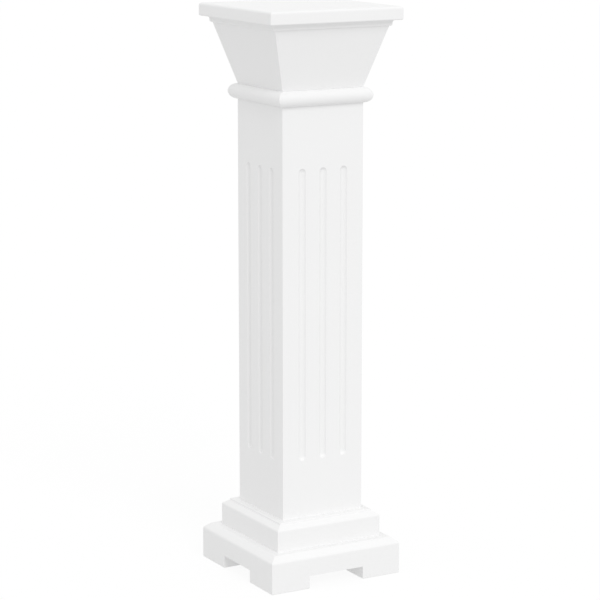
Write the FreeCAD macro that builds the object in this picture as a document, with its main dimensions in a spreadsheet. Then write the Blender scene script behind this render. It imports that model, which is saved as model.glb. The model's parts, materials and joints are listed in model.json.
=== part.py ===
"""Pedestal column stand: a square pillar of painted MDF boards.

The stand is built upwards in layers. Four corner feet carry two stacked plinth boards. On them stands a
hollow shaft of four mitred, fluted panels around corner battens, with a block in each end. A bullnosed
collar caps the shaft, a flared capital of four mitred panels stands on the collar, and a bed board with the
top board over it closes the capital.

Millimetres, +Z up. The origin is at the middle of the footprint, on the floor.
"""
import FreeCAD, Part
import math
import os
import Sketcher

SIZES = (
    # corner feet
    ("foot_height", 15.0),
    ("foot_length", 49.5),             # along X, so the front opening is what two feet leave of the base
    ("foot_depth", 53.5),              # along Y
    ("foot_screw_inset", 13.0),        # from the two nearest edges of the foot
    # lower plinth board
    ("base_width", 170.0),
    ("lower_plinth_thickness", 28.0),
    ("lower_bevel_run", 8.0),
    ("lower_bevel_drop", 6.4),
    ("lower_edge_radius", 4.0),        # softens the bevel into the upright edge
    # upper plinth board
    ("upper_plinth_thickness", 32.0),
    ("upper_ledge", 8.5),              # flat between the shaft and the step
    ("upper_bevel_run", 7.2),
    ("upper_bevel_drop", 4.8),
    ("upper_edge_radius", 3.0),
    ("upper_step", 2.0),               # upright, above the bevel
    ("plinth_dowel_spread", 45.0),     # from the middle, along X and along Y
    ("plinth_dowel_diameter", 8.0),
    ("plinth_dowel_length", 40.0),
    # shaft
    ("shaft_width", 105.0),
    ("shaft_length", 476.0),
    ("panel_thickness", 12.0),
    ("panel_arris_radius", 1.2),
    ("flute_count", 3.0),
    ("flute_pitch", 27.0),
    ("flute_cutter_diameter", 10.0),   # ball-nosed cutter
    ("flute_depth", 3.0),
    ("flute_foot_margin", 67.5),       # plain length below the flutes
    ("flute_head_margin", 70.0),       # plain length above the flutes
    ("batten_width", 18.0),
    ("foot_block_thickness", 18.0),
    ("head_block_thickness", 18.0),
    # collar
    ("collar_overhang", 8.5),          # beyond the shaft
    ("collar_thickness", 18.0),
    # capital
    ("capital_height", 69.0),
    ("capital_panel_thickness", 9.0),
    ("capital_floor_thickness", 12.0),
    ("glue_block_width", 20.0),
    # bed board and top board
    ("bed_overhang", 6.1),             # beyond the head of the capital
    ("bed_thickness", 7.0),
    ("bed_edge_radius", 2.0),          # of its lower edge
    ("bed_cove_radius", 3.5),          # hollow between its upright edge and the top board
    ("top_width", 170.0),
    ("top_overhang", 5.5),             # beyond the bed board
    ("top_thickness", 15.0),
    ("top_lower_radius", 1.5),
    ("top_upper_radius", 3.0),
    ("top_dowel_spread", 30.0),
    ("top_dowel_diameter", 6.0),
    ("top_dowel_length", 8.0),
    # screws: a bite is the length held by the last piece, and the spreads are from the middle
    ("foot_screw_diameter", 4.0),
    ("foot_screw_bite", 15.5),
    ("foot_screw_sink", 0.5),          # head below the sole of the foot
    ("base_screw_diameter", 5.0),
    ("base_screw_bite", 12.0),
    ("base_screw_spread", 15.0),
    ("base_screw_head_height", 3.0),   # pan head, in a counterbore
    ("counterbore_depth", 15.0),
    ("counterbore_clearance", 2.0),    # on the diameter, around a pan head
    ("capital_screw_diameter", 4.0),
    ("capital_screw_bite", 15.0),
    ("capital_screw_spread", 22.0),
    ("bed_screw_diameter", 3.5),
    ("bed_screw_bite", 18.0),
    ("screw_point_diameter", 0.8),     # blunt end of the point
    # fits
    ("shank_clearance", 0.4),          # on the diameter, in a board that a screw passes
    ("pilot_clearance", 0.1),          # on the diameter, where a screw or a dowel is held
    ("end_clearance", 1.0),            # below the end of a screw or a dowel
    ("saw_allowance", 2.0),            # extra width of a board until its edge is moulded
)

doc = FreeCAD.newDocument("pedestal_stand")
sheet = doc.addObject("Spreadsheet::Sheet", "Sizes")
for row, (alias, number) in enumerate(SIZES, start=1):
    sheet.set(f"A{row}", str(number))
    sheet.setAlias(f"A{row}", alias)
doc.recompute()

QUARTER_TURN = 90.0
FULL_TURN = 360.0
HEAD_TAPER = "-45"                     # a countersunk head's 90 degree cone narrows by this on each side
STRAIGHT = 1e-9                        # what rounding leaves of the turn between two opposite directions


# ---------------------------------------------------------------------------
# Size expressions
# ---------------------------------------------------------------------------

def size(alias):
    """The sheet's name for one size, as expressions write it."""
    return f"Sizes.{alias}"


def half(expression):
    return f"({expression}) / 2"


def minus(expression):
    return f"-({expression})"


def value(expression):
    """What an expression comes to now, in millimetres or degrees."""
    result = sheet.evalExpression(expression)
    return float(getattr(result, "Value", result))


def stacked(*expressions):
    return " + ".join(f"({expression})" for expression in expressions)


# Heights of the layers, from the floor up.
LOWER_PLINTH_BOTTOM = size("foot_height")
UPPER_PLINTH_BOTTOM = stacked(LOWER_PLINTH_BOTTOM, size("lower_plinth_thickness"))
SHAFT_BOTTOM = stacked(UPPER_PLINTH_BOTTOM, size("upper_plinth_thickness"))
HEAD_BLOCK_BOTTOM = stacked(SHAFT_BOTTOM, size("shaft_length"), minus(size("head_block_thickness")))
COLLAR_BOTTOM = stacked(SHAFT_BOTTOM, size("shaft_length"))
CAPITAL_BOTTOM = stacked(COLLAR_BOTTOM, size("collar_thickness"))
GLUE_BLOCK_BOTTOM = stacked(CAPITAL_BOTTOM, size("capital_floor_thickness"))
BED_BOTTOM = stacked(CAPITAL_BOTTOM, size("capital_height"))
TOP_BOTTOM = stacked(BED_BOTTOM, size("bed_thickness"))

# Each layer of the base and of the head takes its width from the layer that it lines up with.
UPPER_PLINTH_WIDTH = "Sizes.shaft_width + 2 * (Sizes.upper_ledge + Sizes.upper_bevel_run)"
COLLAR_WIDTH = "Sizes.shaft_width + 2 * Sizes.collar_overhang"
BED_WIDTH = "Sizes.top_width - 2 * Sizes.top_overhang"
CAPITAL_FOOT = half(size("shaft_width"))
CAPITAL_HEAD = f"(({BED_WIDTH}) / 2 - Sizes.bed_overhang)"

# Inside of the shaft, from its middle to the inner face of a panel.
SHAFT_INSIDE = f"({half(size('shaft_width'))} - Sizes.panel_thickness)"

# How far the capital's panels lean out per millimetre of height. A leaning panel measures more than its
# thickness when it is crossed on the level.
CAPITAL_SLOPE = f"(({CAPITAL_HEAD} - {CAPITAL_FOOT}) / Sizes.capital_height)"
CAPITAL_LEVEL_WALL = f"(Sizes.capital_panel_thickness * sqrt(1 + {CAPITAL_SLOPE} ^ 2))"


def capital_inside(height):
    """From the middle to the inner face of a capital panel, at a height above the collar."""
    return f"({CAPITAL_FOOT} + {CAPITAL_SLOPE} * ({height}) - {CAPITAL_LEVEL_WALL})"


# ---------------------------------------------------------------------------
# Bodies, sketches and features
# ---------------------------------------------------------------------------

def new_body(label, height=None, turn=0.0):
    """An empty body that stands at a height and is turned about the pillar's middle, in degrees."""
    body = doc.addObject("PartDesign::Body", label)
    body.Label = label
    body.Placement = FreeCAD.Placement(
        FreeCAD.Vector(0, 0, 0), FreeCAD.Rotation(FreeCAD.Vector(0, 0, 1), turn))
    if height:
        body.setExpression("Placement.Base.z", height)
    return body


def origin_part(body, role):
    return next(part for part in body.Origin.OriginFeatures if part.Role == role)


def new_sketch(body, name, role="XY_Plane", offset=None):
    """A sketch on one of the body's own planes, moved along the plane's normal by an offset."""
    sketch = body.newObject("Sketcher::SketchObject", f"{body.Label}_{name}")
    sketch.AttachmentSupport = [(origin_part(body, role), "")]
    sketch.MapMode = "FlatFace"
    if offset:
        sketch.setExpression("AttachmentOffset.Base.z", offset)
    return sketch


def bind(sketch, expression, kind, *references):
    index = sketch.addConstraint(Sketcher.Constraint(kind, *references, value(expression)))
    sketch.setExpression(f"Constraints[{index}]", expression)


def pin_point(sketch, geometry, point, across, along):
    """Holds one point of a sketch at its distances from the sketch's origin."""
    bind(sketch, across, "DistanceX", -1, 1, geometry, point)
    bind(sketch, along, "DistanceY", -1, 1, geometry, point)


def draw_outline(sketch, corners, centres=None):
    """A closed outline through the corners, each a pair of expressions.

    The stretch that leaves corner i is straight, or an arc about centres[i]. An arc goes the short way
    round, and a half circle goes anticlockwise.
    """
    centres = centres or {}
    points = [FreeCAD.Vector(value(across), value(along), 0) for across, along in corners]
    stretches = []
    for i, start in enumerate(points):
        stop = points[(i + 1) % len(points)]
        if i not in centres:
            stretches.append((sketch.addGeometry(Part.LineSegment(start, stop), False), 1, 2))
            continue
        across, along = centres[i]
        centre = FreeCAD.Vector(value(across), value(along), 0)
        circle = Part.Circle(centre, FreeCAD.Vector(0, 0, 1), (start - centre).Length)
        clockwise = (start - centre).cross(stop - centre).z < -STRAIGHT
        ends = (stop, start) if clockwise else (start, stop)
        angles = [math.atan2(point.y - centre.y, point.x - centre.x) for point in ends]
        arc = sketch.addGeometry(Part.ArcOfCircle(circle, *angles), False)
        bind(sketch, across, "DistanceX", -1, 1, arc, 3)
        stretches.append((arc, 2, 1) if clockwise else (arc, 1, 2))
    for i, (stretch, first, last) in enumerate(stretches):
        following, following_first, _ = stretches[(i + 1) % len(stretches)]
        sketch.addConstraint(Sketcher.Constraint("Coincident", stretch, last, following, following_first))
        pin_point(sketch, stretch, first, *corners[i])


def draw_circles(sketch, places, diameter):
    for across, along in places:
        centre = FreeCAD.Vector(value(across), value(along), 0)
        circle = Part.Circle(centre, FreeCAD.Vector(0, 0, 1), value(diameter) / 2)
        geometry = sketch.addGeometry(circle, False)
        pin_point(sketch, geometry, 3, across, along)
        bind(sketch, diameter, "Diameter", geometry)


def rectangle(half_across, half_along):
    return [(minus(half_across), minus(half_along)), (half_across, minus(half_along)),
            (half_across, half_along), (minus(half_across), half_along)]


def square(half_width):
    return rectangle(half_width, half_width)


def corner_square(far, width):
    """A square in the front left corner of a room that reaches far from the middle on each side."""
    outer = minus(far)
    inner = f"-({far} - {width})"
    return [(outer, outer), (inner, outer), (inner, inner), (outer, inner)]


def mirrored(across, along):
    """One place and its mirror images on the other three sides of both centre lines."""
    return [(across, along), (minus(across), along), (minus(across), minus(along)), (across, minus(along))]


def pad(body, sketch, length, reverse=False, both_ways=False, taper=None):
    feature = body.newObject("PartDesign::Pad", sketch.Label + "_pad")
    feature.Profile = sketch
    feature.Reversed = reverse
    feature.SideType = "Symmetric" if both_ways else "One side"
    feature.setExpression("Length", length)
    if taper:
        feature.setExpression("TaperAngle", taper)
    return feature


def pocket(body, sketch, depth=None, upward=False, both_ways=False, taper=None):
    """Cuts a sketch into the body, down or up its normal, to a depth or right through."""
    feature = body.newObject("PartDesign::Pocket", sketch.Label + "_pocket")
    feature.Profile = sketch
    feature.Reversed = upward
    feature.SideType = "Symmetric" if both_ways else "One side"
    if depth:
        feature.setExpression("Length", depth)
    else:
        feature.Type = "ThroughAll"
    if taper:
        feature.setExpression("TaperAngle", taper)
    return feature


def drill(body, name, places, diameter, depth, start=None, upward=True, taper=None):
    """Round holes into a body, from a height in it, upwards or downwards."""
    sketch = new_sketch(body, name, offset=start)
    draw_circles(sketch, places, diameter)
    return pocket(body, sketch, depth, upward=upward, taper=taper)


def head_diameter(screw):
    """Of either kind of head: twice the shank's."""
    return f"2 * Sizes.{screw}_diameter"


def cone_height(screw):
    """Of a countersunk head, whose 90 degree cone goes from the head's diameter to the shank's."""
    return half(size(f"{screw}_diameter"))


def shank_ways(body, screw, places, depth, start=None, upward=True):
    """Clearance holes in a board that screws pass."""
    return drill(body, f"{screw}_ways", places, f"Sizes.{screw}_diameter + Sizes.shank_clearance", depth,
                 start, upward)


def pilots(body, screw, places, start=None, upward=True):
    """Blind holes in the piece that holds the screws."""
    return drill(body, f"{screw}_pilots", places, f"Sizes.{screw}_diameter + Sizes.pilot_clearance",
                 f"Sizes.{screw}_bite + Sizes.end_clearance", start, upward)


def head_way(screw):
    """Diameter of the room for a countersunk head, where it is widest."""
    return f"{head_diameter(screw)} + Sizes.shank_clearance"


def countersunk_ways(body, screw, places, depth, start=None, upward=True):
    """Clearance holes that start with the cone of a countersunk head."""
    drill(body, f"{screw}_cones", places, head_way(screw), cone_height(screw), start, upward, HEAD_TAPER)
    shank_ways(body, screw, places, depth, start, upward)


def screws(label, screw, places, head, passed, upward=True, pan_head_height=None):
    """One node of like screws, which point up or down from the height of their heads' outer faces.

    They pass through boards of a total thickness before they bite.
    """
    diameter = size(f"{screw}_diameter")
    length = f"{passed} + Sizes.{screw}_bite"
    point_length = diameter
    head_height = pan_head_height or cone_height(screw)
    taper = None if pan_head_height else HEAD_TAPER
    sign = "" if upward else "-"
    body = new_body(label, head)
    head_sketch = new_sketch(body, "heads")
    draw_circles(head_sketch, places, head_diameter(screw))
    pad(body, head_sketch, head_height, reverse=not upward, taper=taper)
    shank_sketch = new_sketch(body, "shanks", offset=f"{sign}({head_height})")
    draw_circles(shank_sketch, places, diameter)
    pad(body, shank_sketch, f"{length} - {head_height} - {point_length}", reverse=not upward)
    point_sketch = new_sketch(body, "points", offset=f"{sign}({length} - {point_length})")
    draw_circles(point_sketch, places, diameter)
    narrowing = f"-atan(({diameter} - Sizes.screw_point_diameter) / 2 / {point_length})"
    pad(body, point_sketch, point_length, reverse=not upward, taper=narrowing)
    return body


def dowels(label, dowel, places, middle):
    """One node of like dowels that stand upright about the height of their middles."""
    body = new_body(label, middle)
    sketch = new_sketch(body, "section")
    draw_circles(sketch, places, size(f"{dowel}_diameter"))
    pad(body, sketch, size(f"{dowel}_length"), both_ways=True)
    return body


def dowel_holes(body, dowel, places, start, upward):
    """Blind holes for half of each dowel."""
    return drill(body, f"{dowel}_holes", places, f"Sizes.{dowel}_diameter + Sizes.pilot_clearance",
                 f"Sizes.{dowel}_length / 2 + Sizes.end_clearance", start, upward)


def moulded_board(label, height, width, thickness, edge, centres=None):
    """A square board whose four edges are cut to one profile, so that the profile mitres at the corners.

    The profile's points run up the right-hand edge, from the underside to the top face, and centres are
    its arcs, as draw_outline takes them. The waste lies between the profile and the outside.
    """
    allowance = size("saw_allowance")
    body = new_body(label, height)
    blank = new_sketch(body, "blank")
    draw_outline(blank, square(f"({half(width)} + {allowance})"))
    pad(body, blank, thickness)
    outside = f"{half(width)} + 2 * {allowance}"
    above = f"{thickness} + {allowance}"
    below = minus(allowance)
    around_waste = [(edge[-1][0], above), (outside, above), (outside, below), (edge[0][0], below)]
    waste = new_sketch(body, "edge_waste", role="XZ_Plane")
    draw_outline(waste, edge + around_waste, centres)
    cut = pocket(body, waste, both_ways=True)
    around = body.newObject("PartDesign::PolarPattern", f"{label}_four_edges")
    around.Originals = [cut]
    around.Axis = (origin_part(body, "Z_Axis"), [""])
    around.Angle = FULL_TURN
    around.Occurrences = 4
    body.Tip = around
    return body


def bevelled_edge(half_width, thickness, run, drop, radius, step=None):
    """Profile of an edge that goes upright, softens by a radius into a bevel, and may end in a step.

    The arc touches both the upright and the bevel, so it starts one tangent length below the corner
    that they would make.
    """
    turn = f"atan({run} / {drop})"
    tangent = f"{radius} * tan({turn} / 2)"
    bevel_top = f"{thickness} - {step}" if step else thickness
    corner_height = f"{bevel_top} - {drop}"
    points = [
        (half_width, "0"),
        (half_width, f"{corner_height} - {tangent}"),
        (f"{half_width} - {tangent} * sin({turn})", f"{corner_height} + {tangent} * cos({turn})"),
        (f"{half_width} - {run}", bevel_top),
    ]
    if step:
        points.append((f"{half_width} - {run}", thickness))
    return points, {1: (f"{half_width} - {radius}", f"{corner_height} - {tangent}")}


# ---------------------------------------------------------------------------
# Places that more than one piece shares
# ---------------------------------------------------------------------------

# Each side and each corner is a quarter turn on from the one before.
SIDES = ("front", "right", "back", "left")
CORNERS = ("front_left", "front_right", "back_right", "back_left")
FOOT_SIGNS = (("-", "-"), ("", "-"), ("", ""), ("-", ""))

PLINTH_DOWEL_PLACES = mirrored(size("plinth_dowel_spread"), size("plinth_dowel_spread"))
BASE_SCREW_PLACES = mirrored(size("base_screw_spread"), size("base_screw_spread"))
CAPITAL_SCREW_PLACES = mirrored(size("capital_screw_spread"), size("capital_screw_spread"))
TOP_DOWEL_PLACES = mirrored(size("top_dowel_spread"), size("top_dowel_spread"))

# Each foot has two screws, at opposite corners of the foot.
FOOT_SCREW_PLACES = mirrored(
    "Sizes.base_width / 2 - Sizes.foot_screw_inset",
    "Sizes.base_width / 2 - Sizes.foot_depth + Sizes.foot_screw_inset",
) + mirrored(
    "Sizes.base_width / 2 - Sizes.foot_length + Sizes.foot_screw_inset",
    "Sizes.base_width / 2 - Sizes.foot_screw_inset",
)

# A bed screw is held by a leaning glue block, so it stands in the middle of the width that the block
# has in common at its top and at the screw's point.
BED_SCREW_SPREAD = (f"({capital_inside(size('capital_height'))} - Sizes.glue_block_width / 2"
                    f" - {CAPITAL_SLOPE} * Sizes.bed_screw_bite / 2)")
BED_SCREW_PLACES = mirrored(BED_SCREW_SPREAD, BED_SCREW_SPREAD)


# ---------------------------------------------------------------------------
# Base
# ---------------------------------------------------------------------------

def make_foot(corner, sign_x, sign_y):
    """A corner foot, flush with two sides of the lower plinth."""
    body = new_body(f"foot_{corner}")
    body.setExpression("Placement.Base.x", f"{sign_x}(Sizes.base_width - Sizes.foot_length) / 2")
    body.setExpression("Placement.Base.y", f"{sign_y}(Sizes.base_width - Sizes.foot_depth) / 2")
    across = half(size("foot_length"))
    along = half(size("foot_depth"))
    outline = new_sketch(body, "outline")
    draw_outline(outline, rectangle(across, along))
    pad(body, outline, size("foot_height"))
    # The screws stand near the two ends of the foot that show on the plinth's sides.
    screw_x = f"({across} - Sizes.foot_screw_inset)"
    screw_y = f"({along} - Sizes.foot_screw_inset)"
    places = [
        (f"{sign_x}{screw_x}", f"{sign_y}(-{screw_y})"),
        (f"{sign_x}(-{screw_x})", f"{sign_y}{screw_y}"),
    ]
    drill(body, "screw_mouths", places, head_way("foot_screw"), size("foot_screw_sink"))
    countersunk_ways(body, "foot_screw", places, size("foot_height"), start=size("foot_screw_sink"))
    return body


def make_lower_plinth():
    thickness = size("lower_plinth_thickness")
    edge, centres = bevelled_edge(half(size("base_width")), thickness, size("lower_bevel_run"),
                                  size("lower_bevel_drop"), size("lower_edge_radius"))
    body = moulded_board("lower_plinth", LOWER_PLINTH_BOTTOM, size("base_width"), thickness, edge, centres)
    pilots(body, "foot_screw", FOOT_SCREW_PLACES)
    drill(body, "counterbores", BASE_SCREW_PLACES,
          f"{head_diameter('base_screw')} + Sizes.counterbore_clearance", size("counterbore_depth"))
    shank_ways(body, "base_screw", BASE_SCREW_PLACES, thickness)
    dowel_holes(body, "plinth_dowel", PLINTH_DOWEL_PLACES, thickness, upward=False)
    return body


def make_upper_plinth():
    thickness = size("upper_plinth_thickness")
    edge, centres = bevelled_edge(half(UPPER_PLINTH_WIDTH), thickness, size("upper_bevel_run"),
                                  size("upper_bevel_drop"), size("upper_edge_radius"), size("upper_step"))
    body = moulded_board("upper_plinth", UPPER_PLINTH_BOTTOM, UPPER_PLINTH_WIDTH, thickness, edge, centres)
    shank_ways(body, "base_screw", BASE_SCREW_PLACES, thickness)
    dowel_holes(body, "plinth_dowel", PLINTH_DOWEL_PLACES, None, upward=True)
    return body


# ---------------------------------------------------------------------------
# Shaft
# ---------------------------------------------------------------------------

def make_shaft_panel(side, turn):
    """One mitred side of the shaft, drawn at the front and turned to its own side.

    Its flutes are tracks of a ball-nosed cutter, which is a round bar with domed ends. The bar's middle
    line stands in front of the face by the cutter's radius less the depth of the flute.
    """
    outer = half(size("shaft_width"))
    radius = size("panel_arris_radius")
    inner = SHAFT_INSIDE
    eased = f"{outer} - {radius}"
    # Where the rounded arris meets the mitre.
    shared = f"{outer} - {radius} * (1 - sqrt(0.5))"
    body = new_body(f"shaft_panel_{side}", SHAFT_BOTTOM, turn)
    section = new_sketch(body, "section")
    corners = [
        (minus(eased), minus(outer)), (eased, minus(outer)), (shared, minus(shared)),
        (inner, minus(inner)), (minus(inner), minus(inner)), (minus(shared), minus(shared)),
    ]
    draw_outline(section, corners, {1: (eased, minus(eased)), 5: (minus(eased), minus(eased))})
    pad(body, section, size("shaft_length"))

    first_flute = "Sizes.flute_pitch * (Sizes.flute_count - 1) / -2"
    cutter_radius = half(size("flute_cutter_diameter"))
    middle_line = f"-({outer} + {cutter_radius} - Sizes.flute_depth)"
    # A dome meets the face inside the bar's end, so the bar is that much longer than the flute.
    overrun = (f"({cutter_radius} - sqrt(({cutter_radius}) ^ 2"
               f" - ({cutter_radius} - Sizes.flute_depth) ^ 2))")
    bottom = f"Sizes.flute_foot_margin - {overrun}"
    top = f"Sizes.shaft_length - Sizes.flute_head_margin + {overrun}"
    track = new_sketch(body, "flute_track", role="YZ_Plane", offset=first_flute)
    side_line = f"{middle_line} + {cutter_radius}"
    low_dome = f"{bottom} + {cutter_radius}"
    high_dome = f"{top} - {cutter_radius}"
    draw_outline(track,
                 [(middle_line, bottom), (side_line, low_dome), (side_line, high_dome), (middle_line, top)],
                 {0: (middle_line, low_dome), 2: (middle_line, high_dome)})
    groove = body.newObject("PartDesign::Groove", f"{body.Label}_flute")
    groove.Profile = track
    groove.ReferenceAxis = (track, ["Edge4"])
    groove.Angle = FULL_TURN
    pattern = body.newObject("PartDesign::LinearPattern", f"{body.Label}_flutes")
    pattern.Originals = [groove]
    pattern.Direction = (origin_part(body, "X_Axis"), [""])
    pattern.Mode = "Spacing"
    pattern.setExpression("Offset", size("flute_pitch"))
    pattern.setExpression("Occurrences", size("flute_count"))
    body.Tip = pattern
    return body


def make_shaft_batten(corner, turn):
    """A square batten glued into one corner of the shaft, between the two end blocks."""
    body = new_body(f"shaft_batten_{corner}", stacked(SHAFT_BOTTOM, size("foot_block_thickness")), turn)
    section = new_sketch(body, "section")
    draw_outline(section, corner_square(SHAFT_INSIDE, size("batten_width")))
    pad(body, section, "Sizes.shaft_length - Sizes.foot_block_thickness - Sizes.head_block_thickness")
    return body


def make_shaft_block(label, height, thickness):
    """A square block that plugs one end of the shaft."""
    body = new_body(label, height)
    outline = new_sketch(body, "outline")
    draw_outline(outline, square(SHAFT_INSIDE))
    pad(body, outline, thickness)
    return body


def make_shaft_foot_block():
    body = make_shaft_block("shaft_foot_block", SHAFT_BOTTOM, size("foot_block_thickness"))
    pilots(body, "base_screw", BASE_SCREW_PLACES)
    return body


def make_shaft_head_block():
    thickness = size("head_block_thickness")
    body = make_shaft_block("shaft_head_block", HEAD_BLOCK_BOTTOM, thickness)
    pilots(body, "capital_screw", CAPITAL_SCREW_PLACES, start=thickness, upward=False)
    return body


# ---------------------------------------------------------------------------
# Collar and capital
# ---------------------------------------------------------------------------

def make_collar_plate():
    """A board with a full half-round edge."""
    thickness = size("collar_thickness")
    nose = half(thickness)
    flat = f"{half(COLLAR_WIDTH)} - {nose}"
    body = moulded_board("collar_plate", COLLAR_BOTTOM, COLLAR_WIDTH, thickness,
                         [(flat, "0"), (flat, thickness)], {0: (flat, nose)})
    shank_ways(body, "capital_screw", CAPITAL_SCREW_PLACES, thickness)
    return body


def make_capital_floor_block():
    """A square block inside the foot of the capital, its edges bevelled to the panels' lean."""
    thickness = size("capital_floor_thickness")
    body = new_body("capital_floor_block", CAPITAL_BOTTOM)
    outline = new_sketch(body, "outline")
    draw_outline(outline, square(capital_inside("0")))
    pad(body, outline, thickness, taper=f"atan({CAPITAL_SLOPE})")
    countersunk_ways(body, "capital_screw", CAPITAL_SCREW_PLACES, thickness, start=thickness, upward=False)
    return body


def make_capital_panel(side, turn):
    """One leaning side of the capital, mitred where the corners' diagonal planes cross it."""
    height = size("capital_height")
    body = new_body(f"capital_panel_{side}", CAPITAL_BOTTOM, turn)
    section = new_sketch(body, "section", role="YZ_Plane")
    draw_outline(section, [
        (minus(CAPITAL_FOOT), "0"), (minus(capital_inside("0")), "0"),
        (minus(capital_inside(height)), height), (minus(CAPITAL_HEAD), height),
    ])
    pad(body, section, f"2 * ({CAPITAL_HEAD} + Sizes.saw_allowance)", both_ways=True)
    beyond = f"({CAPITAL_HEAD} + 2 * Sizes.saw_allowance)"
    for end, sign in (("left", "-"), ("right", "")):
        waste = new_sketch(body, f"{end}_mitre_waste")
        draw_outline(waste, [("0", "0"), (f"{sign}{beyond}", minus(beyond)), (f"{sign}{beyond}", "0")])
        pocket(body, waste, upward=True)
    return body


def make_capital_glue_block(corner, turn):
    """A square block that leans out with a corner of the capital, from the floor block to the bed."""
    body = new_body(f"capital_glue_block_{corner}", GLUE_BLOCK_BOTTOM, turn)
    rise = "Sizes.capital_height - Sizes.capital_floor_thickness"
    sections = []
    for name, level, offset in (("foot", size("capital_floor_thickness"), None),
                                ("head", size("capital_height"), rise)):
        sketch = new_sketch(body, name, offset=offset)
        draw_outline(sketch, corner_square(capital_inside(level), size("glue_block_width")))
        sections.append(sketch)
    loft = body.newObject("PartDesign::AdditiveLoft", f"{body.Label}_loft")
    loft.Profile = sections[0]
    loft.Sections = [sections[1]]
    loft.Ruled = True
    place = (minus(BED_SCREW_SPREAD), minus(BED_SCREW_SPREAD))
    pilots(body, "bed_screw", [place], start=rise, upward=False)
    return body


# ---------------------------------------------------------------------------
# Top
# ---------------------------------------------------------------------------

def make_bed_board():
    """The board under the top, its lower edge rounded and its upper edge flared by a small cove."""
    thickness = size("bed_thickness")
    radius = size("bed_edge_radius")
    outer = half(BED_WIDTH)
    upright = f"{outer} - Sizes.bed_cove_radius"
    cove_bottom = f"{thickness} - Sizes.bed_cove_radius"
    eased = f"{upright} - {radius}"
    edge = [(eased, "0"), (upright, radius), (upright, cove_bottom), (outer, thickness)]
    body = moulded_board("bed_board", BED_BOTTOM, BED_WIDTH, thickness, edge,
                         {0: (eased, radius), 2: (outer, cove_bottom)})
    countersunk_ways(body, "bed_screw", BED_SCREW_PLACES, thickness, start=thickness, upward=False)
    dowel_holes(body, "top_dowel", TOP_DOWEL_PLACES, thickness, upward=False)
    return body


def make_top_board():
    """A board whose upper edge is rounded more than its lower one."""
    thickness = size("top_thickness")
    lower, upper = size("top_lower_radius"), size("top_upper_radius")
    outer = half(size("top_width"))
    lower_flat = f"{outer} - {lower}"
    upper_flat = f"{outer} - {upper}"
    shoulder = f"{thickness} - {upper}"
    edge = [(lower_flat, "0"), (outer, lower), (outer, shoulder), (upper_flat, thickness)]
    body = moulded_board("top_board", TOP_BOTTOM, size("top_width"), thickness, edge,
                         {0: (lower_flat, lower), 2: (upper_flat, shoulder)})
    dowel_holes(body, "top_dowel", TOP_DOWEL_PLACES, None, upward=True)
    return body


# ---------------------------------------------------------------------------
# Assembly
# ---------------------------------------------------------------------------

nodes = [make_foot(corner, *signs) for corner, signs in zip(CORNERS, FOOT_SIGNS)]
nodes.append(screws("foot_screws", "foot_screw", FOOT_SCREW_PLACES, head=size("foot_screw_sink"),
                    passed="Sizes.foot_height - Sizes.foot_screw_sink"))
nodes.append(make_lower_plinth())
nodes.append(dowels("plinth_dowels", "plinth_dowel", PLINTH_DOWEL_PLACES, UPPER_PLINTH_BOTTOM))
nodes.append(make_upper_plinth())
nodes.append(screws("base_screws", "base_screw", BASE_SCREW_PLACES,
                    head=f"{LOWER_PLINTH_BOTTOM} + Sizes.counterbore_depth - Sizes.base_screw_head_height",
                    passed="Sizes.base_screw_head_height - Sizes.counterbore_depth"
                           " + Sizes.lower_plinth_thickness + Sizes.upper_plinth_thickness",
                    pan_head_height=size("base_screw_head_height")))
nodes.append(make_shaft_foot_block())
for quarter, side in enumerate(SIDES):
    nodes.append(make_shaft_panel(side, quarter * QUARTER_TURN))
for quarter, corner in enumerate(CORNERS):
    nodes.append(make_shaft_batten(corner, quarter * QUARTER_TURN))
nodes.append(make_shaft_head_block())
nodes.append(make_collar_plate())
nodes.append(make_capital_floor_block())
nodes.append(screws("capital_screws", "capital_screw", CAPITAL_SCREW_PLACES, head=GLUE_BLOCK_BOTTOM,
                    passed="Sizes.capital_floor_thickness + Sizes.collar_thickness", upward=False))
for quarter, side in enumerate(SIDES):
    nodes.append(make_capital_panel(side, quarter * QUARTER_TURN))
for quarter, corner in enumerate(CORNERS):
    nodes.append(make_capital_glue_block(corner, quarter * QUARTER_TURN))
nodes.append(make_bed_board())
nodes.append(screws("bed_screws", "bed_screw", BED_SCREW_PLACES, head=TOP_BOTTOM,
                    passed=size("bed_thickness"), upward=False))
nodes.append(dowels("top_dowels", "top_dowel", TOP_DOWEL_PLACES, TOP_BOTTOM))
nodes.append(make_top_board())
doc.recompute()

for item in doc.Objects:
    if "Invalid" in item.State or "Error" in item.State:
        raise RuntimeError(f"{item.Label} did not build: {item.State}")
    if item.TypeId in ("PartDesign::Pocket", "PartDesign::Groove"):
        if item.Shape.Volume >= item.BaseFeature.Shape.Volume:
            raise RuntimeError(f"{item.Label} cuts nothing")
for node in nodes:
    if node.Shape.isNull() or not node.Shape.isValid():
        raise RuntimeError(f"{node.Label} has no sound shape")

os.makedirs("parts", exist_ok=True)
for node in nodes:
    node.Shape.exportStep(f"parts/{node.Label}.step")
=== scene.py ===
"""Looks of a square pedestal column stand: lacquered boards, screws, bare inner wood, stage and camera.

Every board that shows is worked out here from the frame's own boxes, with the eased arrises and softened
mouldings that sprayed lacquer leaves. The hidden battens and blocks stay as they are and get their finishes.
All lengths are metres, in the frame's own axes: +Z up, the front of the stand towards -Y.
"""
import json
import math

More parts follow.
